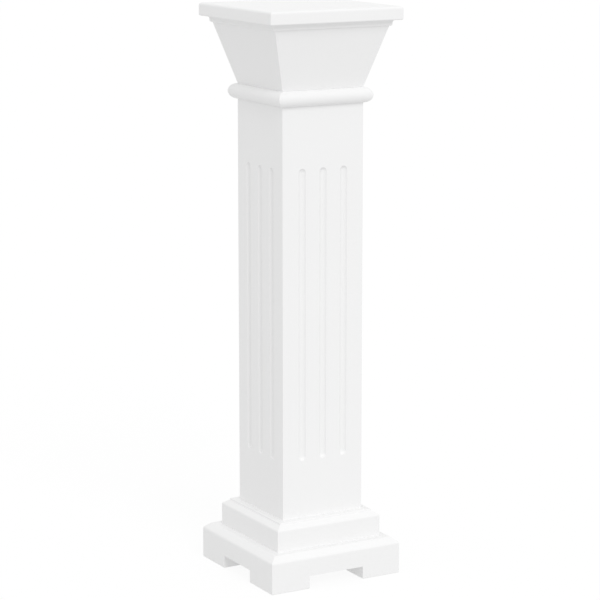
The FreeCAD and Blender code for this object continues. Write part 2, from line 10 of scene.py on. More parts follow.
import bmesh
import bpy
import numpy as np
from bpy.props import FloatProperty, FloatVectorProperty, IntProperty, PointerProperty
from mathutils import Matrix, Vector


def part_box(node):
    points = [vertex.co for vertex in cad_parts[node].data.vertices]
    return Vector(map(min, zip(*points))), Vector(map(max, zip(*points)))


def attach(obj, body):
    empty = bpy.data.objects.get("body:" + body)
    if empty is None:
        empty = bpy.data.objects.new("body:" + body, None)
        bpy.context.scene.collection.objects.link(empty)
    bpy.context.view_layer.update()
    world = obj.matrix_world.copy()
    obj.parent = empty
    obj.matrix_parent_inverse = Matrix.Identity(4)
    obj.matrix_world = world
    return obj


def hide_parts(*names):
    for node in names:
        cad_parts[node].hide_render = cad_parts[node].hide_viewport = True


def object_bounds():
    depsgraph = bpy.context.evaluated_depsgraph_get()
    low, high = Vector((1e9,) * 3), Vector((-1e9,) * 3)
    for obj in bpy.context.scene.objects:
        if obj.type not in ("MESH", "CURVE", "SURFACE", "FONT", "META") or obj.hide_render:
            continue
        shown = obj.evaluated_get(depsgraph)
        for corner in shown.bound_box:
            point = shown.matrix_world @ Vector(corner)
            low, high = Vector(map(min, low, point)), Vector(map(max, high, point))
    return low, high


bl_info = {
    "name": "Pedestal Column Stand",
    "version": (1, 0, 0),
    "blender": (4, 5, 0),
    "location": "View3D > Sidebar > Stand",
    "description": "Builds the lacquered boards, screws and finishes of a square pedestal column stand",
    "category": "Add Mesh",
}

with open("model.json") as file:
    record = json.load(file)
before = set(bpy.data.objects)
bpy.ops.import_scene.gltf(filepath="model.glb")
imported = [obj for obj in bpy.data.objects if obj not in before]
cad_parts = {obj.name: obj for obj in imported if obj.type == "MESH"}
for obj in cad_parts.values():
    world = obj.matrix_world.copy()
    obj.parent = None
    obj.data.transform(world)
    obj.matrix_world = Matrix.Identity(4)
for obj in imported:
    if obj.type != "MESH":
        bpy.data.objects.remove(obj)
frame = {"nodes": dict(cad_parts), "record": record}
CAD_LOW, CAD_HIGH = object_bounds()

MM = 0.001
BODY = "root"
SIDES = ("front", "right", "back", "left")
CORNERS = ("front_left", "front_right", "back_right", "back_left")

# Fineness of the surfaces, in steps.
CORNER_STEPS = 6
ROUND_STEPS = 8
DOME_STEPS = 24
HEAD_STEPS = 16
THREAD_STEPS = 5

JOIN_DISTANCE = 1e-6
SHARP_ANGLE = math.radians(32)
# How far a flat face runs inwards under the piece that covers it, before it is closed.
COVERED_RUN = 20 * MM
# Keeps the floor from flickering through the soles.
FLOOR_GAP = 0.2 * MM

# Screws. A shank is half as wide as its head, and the recess is given in shares of the head's radius.
BASE_HEAD_RADIUS = 5 * MM
HEAD_RADII = {"foot_screws": 4 * MM, "base_screws": BASE_HEAD_RADIUS, "capital_screws": 4 * MM,
              "bed_screws": 3.5 * MM}
PAN_HEIGHT = 3 * MM
THREADED_LENGTH = 24 * MM
SHANK_SHARE = 0.5
CORE_SHARE = 0.72
TIP_SHARE = 0.1
CROWN_SHARE = 0.25
RECESS_DEPTH = 0.55
WING_HALF_WIDTH = 0.13
WING_WALL = 0.06
WING_REACH = 0.62
WING_RISE = 0.45

# How much an upright pattern is drawn out along the grain.
GRAIN_STRETCH = 0.06
# A wave texture's sine runs at this rate along one axis.
WAVE_RATE = 20
# How far the lacquer's roughness strays to each side.
GLOSS_SWING = 0.04

SENSOR_WIDTH = 36.0
LAMP_DISTANCE = 3.0


# ---------------------------------------------------------------------------
# Colours
# ---------------------------------------------------------------------------

def linear(hex_colour):
    """A colour in linear light, with alpha, from its sRGB hex value."""
    channels = np.array([int(hex_colour[i:i + 2], 16) for i in (1, 3, 5)]) / 255
    curved = np.where(channels <= 0.04045, channels / 12.92, ((channels + 0.055) / 1.055) ** 2.4)
    return (*curved.tolist(), 1.0)


WHITE = linear("#FFFFFF")


# ---------------------------------------------------------------------------
# Surfaces
# ---------------------------------------------------------------------------

def eased_line(points, radii):
    """A polyline in a plane whose inner corners are rounded.

    A corner of radius r is replaced by the arc that touches both of its runs. It starts r / tan(half the
    angle between the runs) before the corner, and its centre lies on the angle's bisector.
    """
    points = np.asarray(points, float)
    pieces = [points[:1]]
    for before, corner, after, radius in zip(points, points[1:], points[2:], radii):
        if radius == 0:
            pieces.append(corner[None])
            continue
        back = (before - corner) / np.linalg.norm(before - corner)
        ahead = (after - corner) / np.linalg.norm(after - corner)
        half_angle = math.acos(float(back @ ahead)) / 2
        bisector = (back + ahead) / np.linalg.norm(back + ahead)
        centre = corner + bisector * radius / math.sin(half_angle)
        start = corner + back * radius / math.tan(half_angle) - centre
        stop = corner + ahead * radius / math.tan(half_angle) - centre
        turn = math.pi - 2 * half_angle
        share = np.linspace(0, 1, ROUND_STEPS + 1)[:, None]
        pieces.append(centre + (np.sin((1 - share) * turn) * start + np.sin(share * turn) * stop)
                      / math.sin(turn))
    pieces.append(points[-1:])
    return np.concatenate(pieces)


def rounded_rectangles(centre, half_x, half_y, corner_radius, profile):
    """Outlines of a board stacked along the profile of its edge.

    Each row of the profile is an inset and a height. There the outline is the board's rectangle drawn in by
    the inset, with a quarter circle of the corner radius at each corner: the corner's own centre plus the
    radius times (cosine, sine) of an angle that goes once round.
    """
    quarter = np.arange(4)[:, None]
    angle = ((quarter + np.linspace(0, 1, CORNER_STEPS + 1)) * math.pi / 2).ravel()
    side_x = np.repeat((1, -1, -1, 1), CORNER_STEPS + 1)
    side_y = np.repeat((1, 1, -1, -1), CORNER_STEPS + 1)
    inset, height = np.asarray(profile, float).T[:, :, None]
    x = centre[0] + side_x * (half_x - corner_radius - inset) + corner_radius * np.cos(angle)
    y = centre[1] + side_y * (half_y - corner_radius - inset) + corner_radius * np.sin(angle)
    return np.stack((x, y, np.broadcast_to(height, x.shape)), axis=-1)


def stadium(radii, depths, half_run):
    """Outlines round a straight middle line, one for each radius and depth: across, along, depth.

    Each is the radius times (cosine, sine) of an angle that goes once round, moved along by the half run on
    the first half turn and back by it on the second, so half circles close two straight sides.
    """
    half_turn = np.linspace(0, math.pi, DOME_STEPS + 1)
    angle = np.concatenate((half_turn, half_turn + math.pi))
    shift = np.repeat((half_run, -half_run), DOME_STEPS + 1)
    radii, depths = np.asarray(radii)[:, None], np.asarray(depths)[:, None]
    across = radii * np.cos(angle)
    along = radii * np.sin(angle) + shift
    return np.stack((across, along, np.broadcast_to(depths, across.shape)), axis=-1)


def quarter_turned(points, quarters):
    """Points turned about the stand's middle line: (x, y) goes to (-y, x) once for each quarter turn."""
    x, y, z = points[..., 0], points[..., 1], points[..., 2]
    for _ in range(quarters):
        x, y = -y, x
    return np.stack((x, y, z), axis=-1)


def build(name, sheets=(), tubes=(), flats=()):
    """A closed mesh object from grids of points.

    A sheet is an open grid, and a tube a grid whose rows close on themselves. A flat is one or more loops in
    a plane: the first is its outline, and the others are the edges of the openings in it.
    """
    vertices, faces, outlines, start = [], [], [], 0
    for grid, closes in [(sheet, False) for sheet in sheets] + [(tube, True) for tube in tubes]:
        rows, columns = grid.shape[:2]
        index = start + np.arange(rows * columns).reshape(rows, columns)
        if closes:
            index = np.column_stack((index, index[:, :1]))
        corners = np.stack((index[:-1, :-1], index[:-1, 1:], index[1:, 1:], index[1:, :-1]), axis=-1)
        faces.extend(corners.reshape(-1, 4).tolist())
        vertices.append(grid.reshape(-1, 3))
        start += rows * columns
    for loops in flats:
        found = []
        for loop in loops:
            apart = np.linalg.norm(loop - np.roll(loop, 1, axis=0), axis=1) > JOIN_DISTANCE
            found.append(start + np.arange(np.count_nonzero(apart)))
            vertices.append(loop[apart])
            start += len(found[-1])
        if len(loops) == 1:
            faces.append(found[0].tolist())
        else:
            outlines.append(found)
    mesh = bpy.data.meshes.new(name)
    mesh.from_pydata(np.concatenate(vertices), [], faces)
    solid = bmesh.new()
    solid.from_mesh(mesh)
    solid.verts.ensure_lookup_table()
    for found in outlines:
        edges = [solid.edges.new((solid.verts[a], solid.verts[b]))
                 for loop in found for a, b in zip(loop, np.roll(loop, -1))]
        bmesh.ops.triangle_fill(solid, use_beauty=True, edges=edges)
    bmesh.ops.remove_doubles(solid, verts=solid.verts, dist=JOIN_DISTANCE)
    bmesh.ops.dissolve_degenerate(solid, edges=solid.edges, dist=JOIN_DISTANCE)
    bmesh.ops.recalc_face_normals(solid, faces=solid.faces)
    open_edges = sum(not edge.is_manifold for edge in solid.edges)
    solid.to_mesh(mesh)
    solid.free()
    if open_edges:
        raise RuntimeError(f"{name} isn't closed: {open_edges} open edges")
    mesh.shade_smooth()
    mesh.set_sharp_from_angle(angle=SHARP_ANGLE)
    piece = bpy.data.objects.new(name, mesh)
    bpy.context.scene.collection.objects.link(piece)
    return piece


def hand_over(piece, slot, material, *nodes):
    """Finishes a piece: even shading, its material, and what it stands for in the frame."""
    even = piece.modifiers.new("even_shading", "WEIGHTED_NORMAL")
    even.keep_sharp = True
    piece.data.materials.append(material)
    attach(piece, BODY)
    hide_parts(*nodes)
    return piece


def middle_and_half(low, high):
    return (low + high) / 2, (high - low) / 2


def board(name, node, profile, corner_radius, openings=()):
    """A board in the place of a node, with the profile that its edge has from the underside to the top.

    openings are stadium grids in its underside, from their rims inwards.
    """
    low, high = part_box(node)
    middle, half = middle_and_half(low, high)
    edge = rounded_rectangles(middle, half.x, half.y, corner_radius, profile)
    underside = [edge[0]] + [grid[0] for grid in openings]
    return build(name, tubes=[edge, *openings], flats=[underside, [edge[-1]]])


# ---------------------------------------------------------------------------
# Materials
# ---------------------------------------------------------------------------

def add_node(tree, kind, inputs=None, **settings):
    """A node with its settings. An input is a value, or the socket that it is linked to."""
    made = tree.nodes.new(kind)
    for setting, value in settings.items():
        setattr(made, setting, value)
    for socket, source in (inputs or {}).items():
        if isinstance(source, bpy.types.NodeSocket):
            tree.links.new(source, made.inputs[socket])
        else:
            made.inputs[socket].default_value = source
    return made


def new_material(name):
    """An empty material, its node tree, and the object's own coordinates in metres."""
    material = bpy.data.materials.new(name)
    material.use_nodes = True
    tree = material.node_tree
    tree.nodes.clear()
    place = add_node(tree, "ShaderNodeTexCoord").outputs["Object"]
    return material, tree, place


def close_material(tree, inputs):
    """The shader and the output."""
    shader = add_node(tree, "ShaderNodeBsdfPrincipled", inputs)
    add_node(tree, "ShaderNodeOutputMaterial", {"Surface": shader.outputs["BSDF"]})


def per_metre(size):
    """Scale of a noise whose features are about this size."""
    return 1 / size


def satin_lacquer(finish):
    """White nitrocellulose lacquer sprayed on sanded fibreboard, satin.

    It gives the eye an even, slightly soft white with broad dull highlights and a faint orange peel. IOR 1.5
    as for any lacquer.
    """
    material, tree, place = new_material("satin_lacquer_on_fibreboard")
    # Coats differ a little in thickness over a hand's breadth.
    cloud = add_node(tree, "ShaderNodeTexNoise",
                     {"Vector": place, "Scale": per_metre(120 * MM), "Detail": 2.0})
    colour = add_node(tree, "ShaderNodeMix",
                      {"Factor": cloud.outputs["Fac"], "A": finish.lacquer_colour,
                       "B": finish.lacquer_shade}, data_type="RGBA")
    # Overspray dulls the gloss in patches.
    patches = add_node(tree, "ShaderNodeTexNoise",
                       {"Vector": place, "Scale": per_metre(35 * MM), "Detail": 3.0})
    gloss = add_node(tree, "ShaderNodeMapRange",
                     {"Value": patches.outputs["Fac"], "From Min": 0.3, "From Max": 0.7,
                      "To Min": finish.lacquer_roughness - GLOSS_SWING,
                      "To Max": finish.lacquer_roughness + GLOSS_SWING})
    # Orange peel is 1 to 2 mm across. It is drawn at 3 mm, because a pixel covers more than 1 mm.
    peel = add_node(tree, "ShaderNodeTexNoise",
                    {"Vector": place, "Scale": per_metre(3 * MM), "Detail": 1.0})
    bump = add_node(tree, "ShaderNodeBump",
                    {"Height": peel.outputs["Fac"], "Strength": 0.25, "Distance": 0.03 * MM})
    close_material(tree, {
        "Base Color": colour.outputs["Result"],
        "Roughness": gloss.outputs["Result"],
        "Normal": bump.outputs["Normal"],
        "IOR": 1.5,
    })
    return material


def bare_fibreboard(finish):
    """Medium density fibreboard as sawn: matte brown with short pale and dark fibres."""
    material, tree, place = new_material("bare_fibreboard")
    fibres = add_node(tree, "ShaderNodeTexNoise",
                      {"Vector": place, "Scale": per_metre(1.2 * MM), "Detail": 4.0, "Roughness": 0.7})
    colour = add_node(tree, "ShaderNodeMix",
                      {"Factor": fibres.outputs["Fac"], "A": finish.fibreboard_colour,
                       "B": finish.fibreboard_fleck}, data_type="RGBA")
    bump = add_node(tree, "ShaderNodeBump",
                    {"Height": fibres.outputs["Fac"], "Strength": 0.4, "Distance": 0.05 * MM})
    close_material(tree, {
        "Base Color": colour.outputs["Result"],
        "Normal": bump.outputs["Normal"],
        "Roughness": 0.85,
        "Specular IOR Level": 0.3,
    })
    return material


def planed_wood(name, early, late, band_width, roughness):
    """Wood planed along its grain, which runs up the stand.

    It gives the eye broad pale and dark bands, which run across the corner of a batten and are bent a little
    by noise, with fine pores along them. A band is nearly nine times its band width from the next, so that
    it is wider than a real growth ring.
    """
    material, tree, place = new_material(name)
    along = add_node(tree, "ShaderNodeMapping", {"Vector": place, "Scale": (1.0, 1.0, GRAIN_STRETCH)})
    bands = add_node(tree, "ShaderNodeTexWave",
                     {"Vector": along.outputs["Vector"], "Scale": per_metre(band_width) / WAVE_RATE,
                      "Distortion": 4.0, "Detail": 2.0, "Detail Scale": 1.5},
                     wave_type="BANDS", bands_direction="DIAGONAL")
    pores = add_node(tree, "ShaderNodeTexNoise",
                     {"Vector": along.outputs["Vector"], "Scale": per_metre(0.5 * MM), "Detail": 2.0})
    grain = add_node(tree, "ShaderNodeMix",
                     {"Factor": 0.3, "A": bands.outputs["Fac"], "B": pores.outputs["Fac"]},
                     data_type="FLOAT")
    colour = add_node(tree, "ShaderNodeMix",
                      {"Factor": grain.outputs["Result"], "A": early, "B": late}, data_type="RGBA")
    bump = add_node(tree, "ShaderNodeBump",
                    {"Height": grain.outputs["Result"], "Strength": 0.3, "Distance": 0.08 * MM})
    close_material(tree, {
        "Base Color": colour.outputs["Result"],
        "Normal": bump.outputs["Normal"],
        "Roughness": roughness,
    })
    return material


def zinc_plate(finish):
    """Bright zinc plated steel: a pale metal, blurred in patches by its plating and by handling."""
    material, tree, place = new_material("bright_zinc_plate")
    patches = add_node(tree, "ShaderNodeTexNoise",
                       {"Vector": place, "Scale": per_metre(1.5 * MM), "Detail": 3.0})
    blur = add_node(tree, "ShaderNodeMapRange",
                    {"Value": patches.outputs["Fac"], "To Min": 0.22, "To Max": 0.45})
    bump = add_node(tree, "ShaderNodeBump",
                    {"Height": patches.outputs["Fac"], "Strength": 0.2, "Distance": 0.02 * MM})
    close_material(tree, {
        "Base Color": finish.zinc_colour,
        "Metallic": 1.0,
        "Roughness": blur.outputs["Result"],
        "Normal": bump.outputs["Normal"],
    })
    return material


def floor_white(stage):
    """Plain floor that reads white, with a faint shadow.

    What the camera and reflections see is mostly its own white, with the shadow on a small share of it. To
    the stand it is a table that glows evenly and adds what light really falls on it, so the openings between
    the feet are a shade darker. It is clear from below, so that the underside can be looked at.
    """
    material, tree, _ = new_material("plain_floor")
    # Only bounced rays find the glow. Sampled as a lamp, it would shade the soles just above it unevenly.
    material.cycles.emission_sampling = "NONE"
    share = stage.shadow_share
    paint = add_node(tree, "ShaderNodeBsdfDiffuse", {"Color": (share, share, share, 1.0)})
    own = add_node(tree, "ShaderNodeEmission", {"Color": WHITE, "Strength": 1.0 - share})
    shown = add_node(tree, "ShaderNodeAddShader", {0: paint.outputs["BSDF"], 1: own.outputs["Emission"]})
    lit = stage.floor_lit
    table = add_node(tree, "ShaderNodeBsdfDiffuse", {"Color": (lit, lit, lit, 1.0)})
    glow = add_node(tree, "ShaderNodeEmission", {"Color": WHITE, "Strength": stage.floor_level - lit})
    given = add_node(tree, "ShaderNodeAddShader", {0: table.outputs["BSDF"], 1: glow.outputs["Emission"]})
    above = add_node(tree, "ShaderNodeMixShader",
                     {0: looked_at(tree), 1: given.outputs["Shader"], 2: shown.outputs["Shader"]})
    clear = add_node(tree, "ShaderNodeBsdfTransparent")
    face = add_node(tree, "ShaderNodeNewGeometry")
    either = add_node(tree, "ShaderNodeMixShader", {0: face.outputs["Backfacing"], 1: above.outputs["Shader"],
                                                    2: clear.outputs["BSDF"]})
    add_node(tree, "ShaderNodeOutputMaterial", {"Surface": either.outputs["Shader"]})
    return material


def looked_at(tree):
    """1 where the camera looks, straight or through a reflection or clear piece, and else 0."""
    path = add_node(tree, "ShaderNodeLightPath")
    seen = path.outputs["Is Camera Ray"]
    for other in ("Is Glossy Ray", "Is Transmission Ray"):
        seen = add_node(tree, "ShaderNodeMath", {0: seen, 1: path.outputs[other]},
                        operation="MAXIMUM").outputs["Value"]
    return seen


def finished(name, make, *values):
    """The material of that name, made once."""
    return bpy.data.materials.get(name) or make(*values)


def lacquer():
    return finished("satin_lacquer_on_fibreboard", satin_lacquer, bpy.context.scene.stand_finish)


# ---------------------------------------------------------------------------
# Sizes, colours and stage values
# ---------------------------------------------------------------------------

def length(name, description, millimetres):
    return FloatProperty(name=name, description=description, default=millimetres * MM, min=0.0,
                         subtype="DISTANCE", unit="LENGTH", precision=4)


def colour(name, description, hex_colour):
    return FloatVectorProperty(name=name, description=description, default=linear(hex_colour), size=4,
                               min=0.0, max=1.0, subtype="COLOR")


class StandSizes(bpy.types.PropertyGroup):
    """Sizes of the mouldings and fasteners that the frame's boxes don't give."""

    lower_bevel_run: length("Lower bevel run", "Across the lower plinth's bevel, on the level", 8.0)
    lower_bevel_drop: length("Lower bevel drop", "Height of the lower plinth's bevel", 6.4)
    lower_edge_radius: length("Lower edge radius", "Softens the lower plinth's bevel into its side", 4.0)
    upper_bevel_run: length("Upper bevel run", "Across the upper plinth's bevel, on the level", 7.2)
    upper_bevel_drop: length("Upper bevel drop", "Height of the upper plinth's bevel", 4.8)
    upper_edge_radius: length("Upper edge radius", "Softens the upper plinth's bevel into its side", 3.0)
    upper_step: length("Upper step", "Upright above the upper plinth's bevel", 2.0)
    ledge_radius: length("Ledge radius", "Softens a bevel into the flat above it", 3.0)
    step_radius: length("Step radius", "Of both edges of the upper plinth's step", 1.2)
    base_corner_radius: length("Base corner radius", "Of the upright corners of feet and plinths", 0.5)
    sole_radius: length("Sole radius", "Of the lower edge of a foot", 0.8)
    panel_corner_radius: length("Panel corner radius", "Of the shaft's and the capital's arrises", 0.6)
    collar_corner_radius: length("Collar corner radius", "Where the collar's half-round edges meet", 0.6)
    bed_edge_radius: length("Bed edge radius", "Of the bed board's lower edge", 2.0)
    bed_cove_radius: length("Bed cove radius", "Of the bed board's hollow under the top", 3.5)
    top_lower_radius: length("Top lower radius", "Of the top board's lower edge", 1.5)
    top_upper_radius: length("Top upper radius", "Of the top board's upper edge", 3.0)
    top_corner_radius: length("Top corner radius", "Of the top board's upright corners", 0.8)
    flute_count: IntProperty(name="Flutes", description="Flutes in each side of the shaft", default=3, min=1)
    flute_pitch: length("Flute pitch", "From one flute's middle to the next", 27.0)
    flute_cutter: length("Flute cutter", "Diameter of the ball-nosed cutter", 10.0)
    flute_depth: length("Flute depth", "At a flute's middle", 3.0)
    flute_lip: length("Flute lip radius", "Lacquer rounds the flutes' edges", 0.5)
    flute_foot_margin: length("Flute foot margin", "Plain length below the flutes", 67.5)
    flute_head_margin: length("Flute head margin", "Plain length above the flutes", 70.0)
    counterbore_radius: length("Counterbore radius", "Around a base screw's head", 6.0)
    counterbore_depth: length("Counterbore depth", "In the lower plinth's underside", 15.0)
    head_clearance: length("Head clearance", "Around a foot screw's head", 0.2)
    foot_screw_inset: length("Foot screw inset", "From the two nearest sides of the foot", 13.0)
    thread_pitch: length("Thread pitch", "Of every screw", 2.0)


class StandFinish(bpy.types.PropertyGroup):
    """Colours and gloss of the finishes."""

    lacquer_colour: colour("Lacquer", "White satin lacquer", "#F4F4F4")
    lacquer_shade: colour("Lacquer shade", "The lacquer where its coat is thin", "#F2F2F2")
    lacquer_roughness: FloatProperty(name="Lacquer roughness", description="Dullness of the lacquer",
                                     default=0.5, min=0.05, max=1.0, subtype="FACTOR")
    fibreboard_colour: colour("Fibreboard", "Bare fibreboard", "#A98B66")
    fibreboard_fleck: colour("Fibreboard fleck", "Its paler fibres", "#C6AC86")
    softwood_early: colour("Softwood early wood", "Pale bands of planed pine", "#E6CB9C")
    softwood_late: colour("Softwood late wood", "Dark bands of planed pine", "#C99A5F")
    dowel_early: colour("Dowel wood", "Pale ground of turned beech", "#D9B58C")
    dowel_late: colour("Dowel fleck", "Dark flecks of turned beech", "#B98A5E")
    zinc_colour: colour("Zinc", "Bright zinc plate", "#C9CACB")


class StandStage(bpy.types.PropertyGroup):
    """Camera, light and floor."""

    azimuth: FloatProperty(name="Azimuth", description="Where the camera stands round the stand",
                           default=math.radians(-29.75), subtype="ANGLE")
    distance: FloatProperty(name="Distance", description="On the level, from the stand's middle line",
                            default=2.672, min=0.1, subtype="DISTANCE", unit="LENGTH")
    height: FloatProperty(name="Height", description="Of the camera above the floor", default=0.857,
                          subtype="DISTANCE", unit="LENGTH")
    tilt: FloatProperty(name="Tilt", description="How far the camera looks down",
                        default=math.radians(11.38), subtype="ANGLE")
    focal_length: FloatProperty(name="Focal length", description="In millimetres, on a 36 mm wide sensor",
                                default=141.2, min=1.0)
    sky_level: FloatProperty(name="Sky level", description="Light from all round", default=0.87, min=0.0)
    key_level: FloatProperty(name="Key level", description="Soft light from the front", default=0.74, min=0.0)
    key_spread: FloatProperty(name="Key spread", description="How wide the key light looks from the stand",
                              default=math.radians(30), subtype="ANGLE")
    key_height: FloatProperty(name="Key height", description="Of the key light above the horizon",
                              default=math.radians(38), subtype="ANGLE")
    key_azimuth: FloatProperty(name="Key azimuth", description="Round the stand, from its front to its right",
                               default=math.radians(-4), subtype="ANGLE")
    floor_size: FloatProperty(name="Floor size", description="Side of the square floor", default=80.0,
                              min=1.0, subtype="DISTANCE", unit="LENGTH")
    floor_level: FloatProperty(name="Floor level", description="Light that the floor sends back",
                               default=0.73, min=0.0)
    floor_lit: FloatProperty(name="Floor lit", description="Part of that level that the stand can shade",
                             default=0.15, min=0.0)
    shadow_share: FloatProperty(name="Shadow share", description="How strongly the floor shows the shadow",
                                default=0.12, min=0.0, max=1.0, subtype="FACTOR")


# ---------------------------------------------------------------------------
# Shapes of the pieces
# ---------------------------------------------------------------------------

def bevelled_profile(low, high, run, drop, edge_radius, ledge_radius, step=0.0, step_radius=0.0):
    """Edge profile of a plinth board: upright, a softened bevel, perhaps a step, and the covered flat."""
    bevel_top = high - step
    points = [(0, low), (0, bevel_top - drop), (run, bevel_top)]
    radii = [edge_radius]
    if step:
        points.append((run, high))
        radii.append(step_radius)
    radii.append(step_radius if step else ledge_radius)
    points.append((run + COVERED_RUN, high))
    return eased_line(points, radii)


def make_feet(sizes):
    """Four blocks, each with the mouths of its two screws in its sole."""
    head_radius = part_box("foot_screws")[1].x - (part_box("foot_front_right")[1].x - sizes.foot_screw_inset)
    mouth = head_radius + sizes.head_clearance
    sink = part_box("foot_screws")[0].z
    shank = SHANK_SHARE * head_radius + sizes.head_clearance
    for corner in CORNERS:
        node = f"foot_{corner}"
        low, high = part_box(node)
        profile = eased_line([(2 * sizes.sole_radius, low.z), (0, low.z), (0, high.z)], [sizes.sole_radius])
        openings = []
        for place in foot_screw_places(node, sizes.foot_screw_inset):
            depths = [0, sink, sink + mouth - shank, high.z / 2, high.z / 2]
            grid = stadium([mouth, mouth, shank, shank, 0], depths, 0)
            openings.append(grid + (place[0], place[1], low.z))
        piece = board(f"lacquered_{node}", node, profile, sizes.base_corner_radius, openings)
        hand_over(piece, "painted_board", lacquer(), node)


def foot_screw_places(node, inset):
    """Two places on a foot, near the two ends of it that show on the plinth's sides."""
    low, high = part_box(node)
    outer_x, inner_x = (high.x, low.x) if high.x + low.x > 0 else (low.x, high.x)
    outer_y, inner_y = (high.y, low.y) if high.y + low.y > 0 else (low.y, high.y)
    step_x, step_y = (inset * math.copysign(1, inner - outer)
                      for inner, outer in ((inner_x, outer_x), (inner_y, outer_y)))
    return [(outer_x + step_x, inner_y - step_y), (inner_x - step_x, outer_y + step_y)]


def make_lower_plinth(sizes):
    """The bottom board, with the counterbores of the base screws in its underside."""
    low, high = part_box("lower_plinth")
    profile = bevelled_profile(low.z, high.z, sizes.lower_bevel_run, sizes.lower_bevel_drop,
                               sizes.lower_edge_radius, sizes.ledge_radius)
    radius, depth = sizes.counterbore_radius, sizes.counterbore_depth
    openings = [stadium([radius, radius, 0], [0, depth, depth], 0) + (x, y, low.z)
                for x, y in square_places(base_screw_spread())]
    piece = board("lacquered_lower_plinth", "lower_plinth", profile, sizes.base_corner_radius, openings)
    hand_over(piece, "painted_board", lacquer(), "lower_plinth")


def make_upper_plinth(sizes):
    low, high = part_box("upper_plinth")
    profile = bevelled_profile(low.z, high.z, sizes.upper_bevel_run, sizes.upper_bevel_drop,
                               sizes.upper_edge_radius, 0, sizes.upper_step, sizes.step_radius)
    piece = board("lacquered_upper_plinth", "upper_plinth", profile, sizes.base_corner_radius)
    hand_over(piece, "painted_board", lacquer(), "upper_plinth")


def mitred_section(half_width, wall, corner_radius):
    """Section of a panel at the front: its arrises, its mitres and its inner face, from left to right.

    The outer face, which isn't part of it, joins its two ends. Each arris is an eighth of a circle, from the
    face to the mitre on the corner's diagonal.
    """
    angle = np.linspace(0, math.pi / 4, CORNER_STEPS + 1)
    flat_end = half_width - corner_radius
    across = flat_end + corner_radius * np.sin(angle)
    out = flat_end + corner_radius * np.cos(angle)
    inner = half_width - wall
    right = np.stack((np.append(across, inner), -np.append(out, inner)), axis=-1)
    left = right * (-1, 1)
    return np.concatenate((left, right[::-1]))


def flute_section(sizes):
    """Radius from a flute's middle line and depth below the face, from its rim to its middle.

    The cutter's centre stands in front of the face by its radius less the flute's depth. The lip is an arc
    inside the wood that touches the face and the cutter's circle, so the two centres lie one radius plus
    the other apart, and the line between them crosses the point where the arcs meet.
    """
    cutter = sizes.flute_cutter / 2
    lip = sizes.flute_lip
    front = cutter - sizes.flute_depth
    rim = math.sqrt((cutter + lip) ** 2 - (front + lip) ** 2)
    meeting = math.atan2(front + lip, rim)
    lip_angle = np.linspace(math.pi / 2, meeting, ROUND_STEPS // 2 + 1)
    bowl_angle = np.linspace(meeting, math.pi / 2, ROUND_STEPS + 1)[1:]
    radius = np.concatenate((rim - lip * np.cos(lip_angle), cutter * np.cos(bowl_angle)))
    depth = np.concatenate((lip - lip * np.sin(lip_angle), cutter * np.sin(bowl_angle) - front))
    radius[-1] = 0
    return radius, depth


def make_shaft_panels(sizes):
    """Four mitred panels, each with its flutes as stadium-shaped dishes in its outer face."""
    low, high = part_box("shaft_panel_front")
    half_width = -low.y
    section = mitred_section(half_width, high.y - low.y, sizes.panel_corner_radius)
    levels = np.array((low.z, high.z))
    back = np.stack([np.column_stack((section, np.full(len(section), level))) for level in levels])
    flat_end = half_width - sizes.panel_corner_radius
    face = np.array([(-flat_end, low.y, low.z), (flat_end, low.y, low.z),
                     (flat_end, low.y, high.z), (-flat_end, low.y, high.z)])
    radii, depths = flute_section(sizes)
    foot, head = low.z + sizes.flute_foot_margin, high.z - sizes.flute_head_margin
    dish = stadium(radii, depths, (head - foot) / 2 - radii[0])
    places = (np.arange(sizes.flute_count) - (sizes.flute_count - 1) / 2) * sizes.flute_pitch
    flutes = [np.stack((dish[..., 0] + place, dish[..., 2] + low.y, dish[..., 1] + (foot + head) / 2), -1)
              for place in places]
    for quarters, side in enumerate(SIDES):
        turned = [quarter_turned(grid, quarters) for grid in (back, face, *flutes)]
        piece = build(f"lacquered_shaft_panel_{side}", sheets=[turned[0]], tubes=turned[2:],
                      flats=[[turned[1]] + [flute[0] for flute in turned[2:]],
                             [turned[0][0]], [turned[0][1]]])
        hand_over(piece, "painted_board", lacquer(), f"shaft_panel_{side}")


def make_collar(sizes):
    """A board with a full half-round edge."""
    low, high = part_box("collar_plate")
    nose = (high.z - low.z) / 2
    profile = eased_line([(nose + COVERED_RUN, low.z), (0, low.z), (0, high.z), (nose + COVERED_RUN, high.z)],
                         [nose, nose])
    piece = board("lacquered_collar_plate", "collar_plate", profile, sizes.collar_corner_radius)
    hand_over(piece, "painted_board", lacquer(), "collar_plate")


def make_capital_panels(sizes):
    """Four leaning panels: the mitred section at the foot and the head, joined by straight lines."""
    low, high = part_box("capital_panel_front")
    foot_half = -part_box("shaft_panel_front")[0].y
    level_wall = foot_half + high.y
    rings = []
    for half_width, level in ((foot_half, low.z), (high.x, high.z)):
        section = mitred_section(half_width, level_wall, sizes.panel_corner_radius)
        rings.append(np.column_stack((section, np.full(len(section), level))))
    rings = np.stack(rings)
    for quarters, side in enumerate(SIDES):
        turned = quarter_turned(rings, quarters)
        piece = build(f"lacquered_capital_panel_{side}", tubes=[turned], flats=[[turned[0]], [turned[1]]])
        hand_over(piece, "painted_board", lacquer(), f"capital_panel_{side}")


